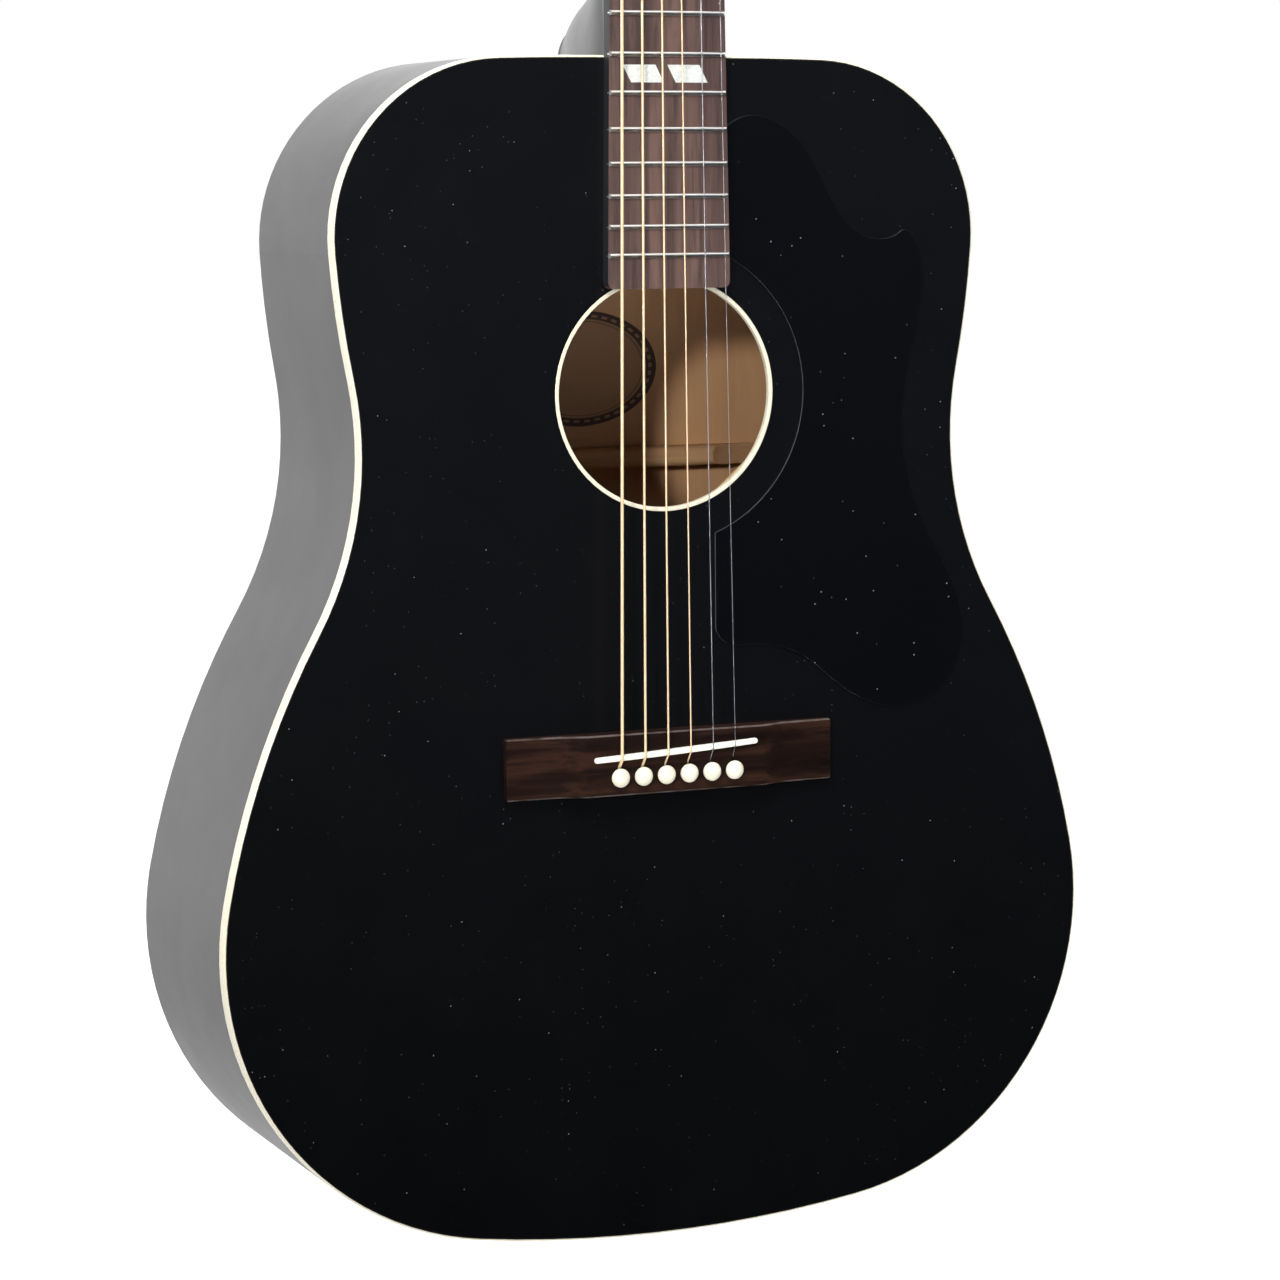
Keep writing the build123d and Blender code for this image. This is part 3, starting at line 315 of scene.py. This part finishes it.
def make_rosewood(name, grain, shades, dull=(0.42, 0.58), shine=0.5, swirl=0.8, black_sides=False,
                  pale_edge_highlights=False):
    """Oiled rosewood: bands from dark to light brown, dark ink lines and open pores along the grain."""
    material, tree, shader = new_material(name)
    place = position(tree, grain)
    broad = noise(tree, place, 105, 4, 0.6, swirl)
    lines = noise(tree, place, 330, 5, 0.62, 0.4)
    colour = ramp(tree, broad, (0.25, shades[0]), (0.46, shades[1]), (0.60, shades[2]), (0.78, shades[0]))
    colour = mix(tree, calc(tree, "MULTIPLY", band(tree, lines, 0.50, 0.72), 0.75), colour, shades[3])
    pores = band(tree, cells(tree, place, 1500), 0.22, 0.10)
    pores = calc(tree, "MULTIPLY", pores, band(tree, noise(tree, place, 260, 2), 0.45, 0.6))
    colour = mix(tree, calc(tree, "MULTIPLY", pores, 0.8), colour, shades[3])
    rough = band(tree, lines, 0.3, 0.7, *dull)
    shader.inputs["Specular IOR Level"].default_value = shine
    # Painted highlight: rounded edges and ramps that face partly sideways are painted paler brown in patches,
    # standing in for light caught on them.
    if pale_edge_highlights:
        turned = calc(tree, "ABSOLUTE", split(tree, surface_normal(tree))["Y"])
        highlight_mask = calc(tree, "MULTIPLY", band(tree, turned, 0.96, 0.88), band(tree, turned, 0.15, 0.40))
        highlight_mask = calc(tree, "MULTIPLY", highlight_mask, band(tree, noise(tree, position(tree), 90, 3), 0.35, 0.6))
        colour = mix(tree, highlight_mask, colour, (0.075, 0.058, 0.052))
    if black_sides:
        beside = band(tree, calc(tree, "ABSOLUTE", split(tree, surface_normal(tree))["X"]), 0.80, 0.90)
        colour = mix(tree, beside, colour, (0.0075, 0.0085, 0.011))
    connect(tree, colour, shader.inputs["Base Color"])
    connect(tree, rough, shader.inputs["Roughness"])
    relief = bump(tree, calc(tree, "SUBTRACT", lines, calc(tree, "MULTIPLY", pores, 0.9)), 0.25, 0.0002)
    connect(tree, relief, shader.inputs["Normal"])
    return material


def make_bare_wood(name, light, dark, grain):
    """Unfinished inside wood."""
    material, tree, shader = new_material(name)
    connect(tree, bare_wood_colour(tree, light, dark, grain), shader.inputs["Base Color"])
    shader.inputs["Roughness"].default_value = 0.62
    relief = bump(tree, noise(tree, position(tree, grain), 500, 3), 0.15, 0.0002)
    connect(tree, relief, shader.inputs["Normal"])
    return material


def make_bone():
    """Polished bone with faint pores."""
    material, tree, shader = new_material("bone")
    place = position(tree)
    tone = noise(tree, position(tree, (0.3, 1, 1)), 380, 4)
    colour = mix(tree, tone, (0.70, 0.67, 0.57), (0.78, 0.76, 0.68))
    connect(tree, mix(tree, band(tree, cells(tree, place, 2200), 0.10, 0.02), colour, (0.55, 0.48, 0.36)),
            shader.inputs["Base Color"])
    connect(tree, band(tree, noise(tree, place, 500, 3), 0.3, 0.7, 0.25, 0.38), shader.inputs["Roughness"])
    shader.inputs["Subsurface Weight"].default_value = 0.12
    shader.inputs["Subsurface Radius"].default_value = (0.0015, 0.0012, 0.001)
    return material


def make_pearl():
    """White pearloid: soft clouds with a little shimmer."""
    material, tree, shader = new_material("pearl")
    place = position(tree)
    clouds = noise(tree, place, 380, 4, 0.6, 1.6)
    colour = ramp(tree, clouds, (0.32, (0.46, 0.48, 0.46)), (0.5, (0.55, 0.565, 0.54)),
                  (0.68, (0.60, 0.605, 0.58)))
    connect(tree, colour, shader.inputs["Base Color"])
    connect(tree, band(tree, clouds, 0.3, 0.7, 0.16, 0.32), shader.inputs["Roughness"])
    shader.inputs["Metallic"].default_value = 0.1
    shader.inputs["Coat Weight"].default_value = 0.4
    shader.inputs["Coat Roughness"].default_value = 0.1
    return material


def make_metal(name, bright, dull, low, high, scale=260.0):
    """Metal with uneven polish and light tarnish."""
    material, tree, shader = new_material(name)
    place = position(tree)
    wear = noise(tree, place, scale, 5, 0.6)
    tarnish = noise(tree, place, scale * 0.25, 4, 0.6)
    colour = mix(tree, band(tree, tarnish, 0.45, 0.75), bright, dull)
    connect(tree, colour, shader.inputs["Base Color"])
    connect(tree, band(tree, wear, 0.3, 0.7, low, high), shader.inputs["Roughness"])
    shader.inputs["Metallic"].default_value = 1.0
    connect(tree, bump(tree, wear, 0.08, 0.0001), shader.inputs["Normal"])
    return material


def make_wound_wire():
    """Bronze winding: fine turns round the wire, seen as ridges along the neck."""
    material, tree, shader = new_material("bronze_wire")
    place = position(tree)
    turns = tree.nodes.new("ShaderNodeTexWave")
    turns.wave_type = "BANDS"
    turns.bands_direction = "Z"
    tree.links.new(place, turns.inputs["Vector"])
    turns.inputs["Scale"].default_value = 1100
    tone = noise(tree, place, 90, 4)
    colour = mix(tree, band(tree, tone, 0.35, 0.7), (0.96, 0.76, 0.50), (0.88, 0.64, 0.40))
    # Painted shade: the colour is darker in the grooves between the turns.
    connect(tree, mix(tree, band(tree, turns.outputs["Fac"], 0.35, 0.0), colour, (0.60, 0.40, 0.22)),
            shader.inputs["Base Color"])
    connect(tree, band(tree, tone, 0.3, 0.7, 0.32, 0.42), shader.inputs["Roughness"])
    shader.inputs["Metallic"].default_value = 0.45
    connect(tree, bump(tree, turns.outputs["Fac"], 0.15, 0.00006), shader.inputs["Normal"])
    return material


def make_aged_plastic(name, light, dark):
    """Cream plastic of the pins and buttons, yellowed unevenly and mottled."""
    material, tree, shader = new_material(name)
    place = position(tree)
    clouds = noise(tree, place, 150, 4, 0.55, 0.8)
    colour = mix(tree, band(tree, clouds, 0.3, 0.72), light, dark)
    mottle = calc(tree, "MULTIPLY", band(tree, noise(tree, place, 900, 3), 0.6, 0.8), 0.4)
    colour = mix(tree, mottle, colour, tuple(part * 0.7 for part in dark))
    connect(tree, colour, shader.inputs["Base Color"])
    connect(tree, band(tree, clouds, 0.3, 0.7, 0.18, 0.30), shader.inputs["Roughness"])
    shader.inputs["Subsurface Weight"].default_value = 0.15
    shader.inputs["Subsurface Radius"].default_value = (0.002, 0.0015, 0.001)
    connect(tree, bump(tree, noise(tree, place, 400, 2), 0.03, 0.0002), shader.inputs["Normal"])
    return material


def make_label_paper():
    """Aged paper with a dark oval border broken by pale dashes, a thin inner oval line and a blank field."""
    material, tree, shader = new_material("label_paper")
    low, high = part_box("label")
    middle, half_x, half_z = (low + high) / 2, (high.x - low.x) / 2, (high.z - low.z) / 2
    axes = split(tree, position(tree))
    across = calc(tree, "DIVIDE", calc(tree, "SUBTRACT", axes["X"], middle.x), half_x)
    upward = calc(tree, "DIVIDE", calc(tree, "SUBTRACT", axes["Z"], middle.z), half_z)
    out = calc(tree, "SQRT", calc(tree, "ADD", calc(tree, "MULTIPLY", across, across),
                                  calc(tree, "MULTIPLY", upward, upward)))
    angle = calc(tree, "ARCTAN2", upward, across)
    dashes = calc(tree, "MULTIPLY",
                  band(tree, calc(tree, "ABSOLUTE", calc(tree, "SUBTRACT", out, 0.92)), 0.026, 0.018),
                  band(tree, calc(tree, "SINE", calc(tree, "MULTIPLY", angle, 42)), -0.35, 0.0))
    border = calc(tree, "MULTIPLY", band(tree, out, 0.855, 0.868),
                  calc(tree, "SUBTRACT", 1.0, calc(tree, "MULTIPLY", dashes, 0.9)))
    inner = band(tree, calc(tree, "ABSOLUTE", calc(tree, "SUBTRACT", out, 0.82)), 0.010, 0.005)
    ink = calc(tree, "MAXIMUM", border, calc(tree, "MULTIPLY", inner, 0.7))
    paper = mix(tree, noise(tree, position(tree), 60, 5), (0.37, 0.215, 0.115), (0.31, 0.175, 0.088))
    connect(tree, mix(tree, ink, paper, (0.07, 0.042, 0.035)), shader.inputs["Base Color"])
    rough = band(tree, noise(tree, position(tree), 900, 3), 0.3, 0.7, 0.6, 0.75)
    connect(tree, rough, shader.inputs["Roughness"])
    return material


# Rosewood's dark, middle and light bands, then its ink lines
BOARD_SHADES = ((0.030, 0.016, 0.014), (0.070, 0.039, 0.033), (0.106, 0.060, 0.048), (0.008, 0.004, 0.0035))
BRIDGE_SHADES = ((0.004, 0.0015, 0.0010), (0.009, 0.0035, 0.0022), (0.024, 0.0095, 0.0055),
                 (0.0015, 0.0008, 0.0006))


def make_all_materials():
    """Every material by the name that the piece table uses."""
    along_neck, across_bridge = (1, 1, 0.06), (0.06, 1, 1)
    return {
        "top": make_black_top(),
        "back": make_black_back(),
        "sides": make_black_sides(),
        "lacquer": make_black_lacquer(),
        "pickguard": make_pickguard_black(),
        "binding": make_binding("top_binding_cream", True),
        "ring": make_binding("hole_ring_cream", False),
        "fingerboard": make_rosewood("rosewood_board", along_neck, BOARD_SHADES, black_sides=True),
        "bridge": make_rosewood("rosewood_bridge", across_bridge, BRIDGE_SHADES, (0.28, 0.38), 0.22, 0.15,
                                pale_edge_highlights=True),
        "mahogany": make_bare_wood("mahogany", (0.36, 0.19, 0.10), (0.25, 0.12, 0.06), along_neck),
        "cross_wood": make_bare_wood("cross_wood", (0.56, 0.33, 0.165), (0.46, 0.26, 0.12), across_bridge),
        "spruce": make_bare_wood("spruce", (0.55, 0.37, 0.18), (0.42, 0.26, 0.11), along_neck),
        "maple": make_bare_wood("maple", (0.60, 0.42, 0.24), (0.48, 0.32, 0.17), across_bridge),
        "bone": make_bone(),
        "pearl": make_pearl(),
        "frets": make_metal("fret_wire", (0.88, 0.88, 0.86), (0.80, 0.78, 0.74), 0.28, 0.38),
        "nickel": make_metal("nickel", (0.80, 0.78, 0.72), (0.62, 0.57, 0.48), 0.16, 0.34),
        "steel_bar": make_metal("steel_bar", (0.50, 0.50, 0.50), (0.36, 0.34, 0.32), 0.35, 0.55),
        "bronze": make_wound_wire(),
        "steel": make_metal("steel_wire", (0.82, 0.82, 0.85), (0.74, 0.74, 0.77), 0.28, 0.36, 300.0),
        "pin": make_aged_plastic("pin_cream", (0.66, 0.63, 0.52), (0.58, 0.54, 0.42)),
        "button": make_aged_plastic("button_cream", (0.83, 0.76, 0.58), (0.71, 0.61, 0.41)),
        "label": make_label_paper(),
    }


NODE_MATERIALS = {
    "soundboard": "top", "back": "back", "sides": "sides", "neck": "lacquer", "heel_cap": "lacquer",
    "headstock_veneer": "lacquer", "pickguard": "pickguard", "top_binding": "binding",
    "soundhole_ring": "ring",
    "fingerboard": "fingerboard", "bridge": "bridge", "linings": "mahogany", "neck_block": "mahogany",
    "tail_block": "mahogany", "back_braces": "cross_wood", "back_centre_strip": "cross_wood",
    "top_braces": "spruce", "bridge_plate": "maple", "saddle": "bone", "nut": "bone", "fret_markers": "pearl",
    "frets": "frets", "neck_bar": "steel_bar", "tuner_plates": "nickel", "tuner_ferrules": "nickel",
    "tuner_screws": "nickel", "end_pin": "pin", "label": "label",
}
PREFIX_MATERIALS = {
    "bridge_pin_": "pin", "tuner_button_": "button", "tuner_worm_": "nickel", "tuner_post_": "nickel",
}


def dress_cad_nodes(materials):
    """Give every CAD node its material."""
    for name, thing in nodes.items():
        key = NODE_MATERIALS.get(name)
        for prefix, prefix_key in PREFIX_MATERIALS.items():
            if name.startswith(prefix):
                key = prefix_key
        if name.startswith("string_"):
            key = "bronze" if name[len("string_"):] in WOUND else "steel"
        thing.data.materials.clear()
        thing.data.materials.append(materials[key])


# ---------------------------------------------------------------- edge rounding on CAD nodes
ROUNDINGS = {
    "bridge": 0.0004, "pickguard": 0.00055, "soundhole_ring": 0.0004, "headstock_veneer": 0.0004,
    "heel_cap": 0.0005, "tuner_plates": 0.0002, "tuner_ferrules": 0.0003, "nut": 0.0003,
}
BINDING_ROUNDING = 0.0012


def round_edges(name, width, group=""):
    """Round a CAD node's sharp edges, or only those between the vertices of a group."""
    modifiers = nodes[name].modifiers
    modifiers.new("join_faces", "WELD").merge_threshold = 0.00001
    rounding = modifiers.new("round_edges", "BEVEL")
    rounding.width = width
    rounding.segments = 4
    rounding.limit_method = "VGROUP" if group else "ANGLE"
    rounding.vertex_group = group
    rounding.angle_limit = radians(40)
    modifiers.new("keep_corners", "EDGE_SPLIT").split_angle = radians(50)
    modifiers.new("even_shading", "WEIGHTED_NORMAL").weight = 90


def group_outer_rim(name, group_name):
    """Mark the vertices where the binding's outer wall meets its front face."""
    mesh = nodes[name].data
    group = nodes[name].vertex_groups.new(name=group_name)
    rim = set()
    for face in mesh.polygons:
        outward = Vector((face.center.x, 0, face.center.z - BODY_TOP_Z / 2))
        if abs(face.normal.y) < 0.5 and face.normal.dot(outward) > 0:
            rim.update(mesh.vertices[index].co.copy().freeze() for index in face.vertices)
    front = FRONT_Y + 0.0001
    marked = [vertex.index for vertex in mesh.vertices
              if vertex.co.y < front and vertex.co.copy().freeze() in rim]
    group.add(marked, 1.0, "REPLACE")


def round_all_edges():
    """Round every listed node, and the binding along its outer rim only."""
    for name, width in ROUNDINGS.items():
        round_edges(name, width)
    group_outer_rim("top_binding", "outer_rim")
    round_edges("top_binding", BINDING_ROUNDING, "outer_rim")


# ---------------------------------------------------------------- string turns on the posts
WIRE_RADII = dict(zip(STRINGS, (0.000675, 0.000535, 0.000405, 0.000305, 0.000215, 0.000165)))
POST_RADIUS = 0.003
STRING_HEIGHT = 0.0055
HOLE_HEIGHT = 0.0094
TURN_POINTS = 12
TAIL_LENGTH = 0.0022
WIRE_GAP = 0.00005
TURN_GAP = 0.00008
ROOM_UNDER_HOLE = 0.001
RISE_SHARES = (0.12, 0.27, 0.42)


def tube(name, points, radius, material, body):
    """Smooth round wire near the points."""
    curve = bpy.data.curves.new(name, "CURVE")
    curve.dimensions = "3D"
    curve.bevel_depth = radius
    curve.bevel_resolution = 3
    curve.use_fill_caps = True
    spline = curve.splines.new("NURBS")
    spline.points.add(len(points) - 1)
    for target, point in zip(spline.points, points):
        target.co = (*point, 1)
    spline.order_u = 3
    spline.use_endpoint_u = True
    thing = bpy.data.objects.new(name, curve)
    bpy.context.scene.collection.objects.link(thing)
    thing.data.materials.append(material)
    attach(thing, body)


def string_turns(name, materials):
    """One string's turns round its post, up to the post's hole, and its cut end through the hole."""
    joint = joints["wind_post_" + name]
    centre, axis = Vector(joint["pos_m"]), Vector(joint["axis"]).normalized()
    inner = Vector((-1 if centre.x > 0 else 1, 0, 0))
    up_head = Vector((0, axis.z, -axis.y))
    wire = WIRE_RADII[name]
    reach = POST_RADIUS + wire + WIRE_GAP
    pitch = 2 * wire + TURN_GAP
    whole_turns = max(2, int((HOLE_HEIGHT - STRING_HEIGHT - wire - ROOM_UNDER_HOLE) / pitch))
    points = []
    for step in range(whole_turns * TURN_POINTS + 1):
        angle = 2 * pi * step / TURN_POINTS
        around = inner * cos(angle) + up_head * sin(angle)
        spread = reach / cos(pi / TURN_POINTS) if step else reach
        points.append(centre + around * spread + axis * (STRING_HEIGHT + pitch * step / TURN_POINTS))
    top = STRING_HEIGHT + pitch * whole_turns
    for share in RISE_SHARES:
        angle = 2 * pi * share
        around = inner * cos(angle) + up_head * sin(angle)
        height = top + (HOLE_HEIGHT - top) * share / RISE_SHARES[-1]
        points.append(centre + around * reach * 1.04 + axis * height)
    for distance in (-reach * 1.15, -POST_RADIUS, 0.0, POST_RADIUS, POST_RADIUS + TAIL_LENGTH):
        points.append(centre + inner * distance + axis * HOLE_HEIGHT)
    wound = name in WOUND
    tube("string_turns_" + name, points, wire, materials["bronze" if wound else "steel"],
         "spindle_" + name)


# ---------------------------------------------------------------- stage
FLOOR_REACH = 40.0
FLOOR_DROP = 0.3


def make_floor():
    """White paper floor, below the hanging guitar. It doesn't show in the object's own reflections."""
    mesh = bpy.data.meshes.new("floor")
    level = cad_low.z - FLOOR_DROP
    corners = [(x * FLOOR_REACH, y * FLOOR_REACH, level) for x, y in ((-1, -1), (1, -1), (1, 1), (-1, 1))]
    mesh.from_pydata(corners, [], [(0, 1, 2, 3)])
    floor = bpy.data.objects.new("floor", mesh)
    bpy.context.scene.collection.objects.link(floor)
    floor.visible_glossy = False
    material, tree, shader = new_material("floor_paper")
    fibres = noise(tree, position(tree), 3.0, 6)
    connect(tree, mix(tree, fibres, (0.90, 0.90, 0.90), (0.93, 0.93, 0.93)), shader.inputs["Base Color"])
    shader.inputs["Roughness"].default_value = 0.9
    floor.data.materials.append(material)


def aim(name, data, place, target):
    """Put a light at a place, turned to a target."""
    light = bpy.data.objects.new(name, data)
    light.location = place
    light.rotation_mode = "QUATERNION"
    light.rotation_quaternion = (Vector(target) - Vector(place)).to_track_quat("-Z", "Y")
    bpy.context.scene.collection.objects.link(light)


def area_light(name, place, target, size, power):
    """Soft box of the given width and height."""
    data = bpy.data.lights.new(name, "AREA")
    data.shape = "RECTANGLE"
    data.size, data.size_y = size
    data.energy = power
    aim(name, data, place, target)


def spot_light(name, place, target, radius, spread, power):
    """Soft-edged beam; `spread` is its full angle in degrees."""
    data = bpy.data.lights.new(name, "SPOT")
    data.shadow_soft_size = radius
    data.spot_size = radians(spread)
    data.spot_blend = 0.6
    data.energy = power
    aim(name, data, place, target)


def make_lights():
    """A beam through the soundhole, a key light high in front, and a light over the back."""
    hole = (0.01, FRONT_Y, HOLE_Z)
    spot_light("beam_into_hole", (-1.55, -1.85, 0.85), hole, 0.28, 6.0, 940)
    area_light("key_high_front", (-0.7, -1.5, 2.3), (0, FRONT_Y, 0.35), (1.2, 0.9), 74)
    area_light("top_back", (0.3, 1.0, 2.4), (0, 0, 0.4), (2.2, 1.4), 26)


def make_world():
    """White studio: bright behind and overhead, dim in front, to keep the front black and the sides pale."""
    world = bpy.data.worlds.new("studio")
    bpy.context.scene.world = world
    world.use_nodes = True
    tree = world.node_tree
    background = tree.nodes["Background"]
    axes = split(tree, tree.nodes.new("ShaderNodeTexCoord").outputs["Generated"])
    behind = calc(tree, "MULTIPLY", band(tree, axes["Y"], -0.25, 0.6, 0.0, 1.4),
                  band(tree, axes["Z"], -0.30, 0.0, 0.64, 1.0))
    overhead = band(tree, axes["Z"], 0.45, 0.95, 0.0, 2.0)
    ahead = band(tree, axes["Z"], -0.24, 0.02, 0.0, 0.12)
    glow = calc(tree, "MAXIMUM", calc(tree, "MAXIMUM", behind, overhead), ahead)
    glow = mix(tree, band(tree, glow, 0.10, 0.20), mix(tree, 1.0, (0.86, 0.95, 1.25), glow, "MULTIPLY"), glow)
    seen = tree.nodes.new("ShaderNodeLightPath").outputs["Is Camera Ray"]
    connect(tree, mix(tree, seen, glow, (1.0, 1.0, 1.0)), background.inputs["Color"])


# ---------------------------------------------------------------- camera
CAMERA_PLACE = (-0.6437, -1.5671, 0.4507)
CAMERA_YAW, CAMERA_PITCH, CAMERA_ROLL = radians(23.5), radians(-5.92), radians(-0.45)
CAMERA_LENS = 108.25
CAMERA_SHIFT = (-0.039, -0.039)


def make_camera():
    """Camera at the photo's viewing angle, turned by its yaw, then pitch, then roll."""
    data = bpy.data.cameras.new("camera")
    data.lens = CAMERA_LENS
    data.sensor_width = 36
    data.shift_x, data.shift_y = CAMERA_SHIFT
    camera = bpy.data.objects.new("camera", data)
    flat_forward = Vector((sin(CAMERA_YAW), cos(CAMERA_YAW), 0))
    right = Vector((cos(CAMERA_YAW), -sin(CAMERA_YAW), 0))
    forward = flat_forward * cos(CAMERA_PITCH) + Vector((0, 0, sin(CAMERA_PITCH)))
    level_up = right.cross(forward)
    rolled_right = right * cos(CAMERA_ROLL) + level_up * sin(CAMERA_ROLL)
    up = rolled_right.cross(forward)
    turn = Matrix((rolled_right, up, -forward)).transposed()
    camera.matrix_world = Matrix.Translation(CAMERA_PLACE) @ turn.to_4x4()
    bpy.context.scene.collection.objects.link(camera)
    bpy.context.scene.camera = camera


# ---------------------------------------------------------------- build
make_camera()
make_floor()
make_lights()
make_world()
bpy.context.scene.view_settings.view_transform = "Standard"
materials = make_all_materials()
dress_cad_nodes(materials)
round_all_edges()
for string_name in STRINGS:
    string_turns(string_name, materials)
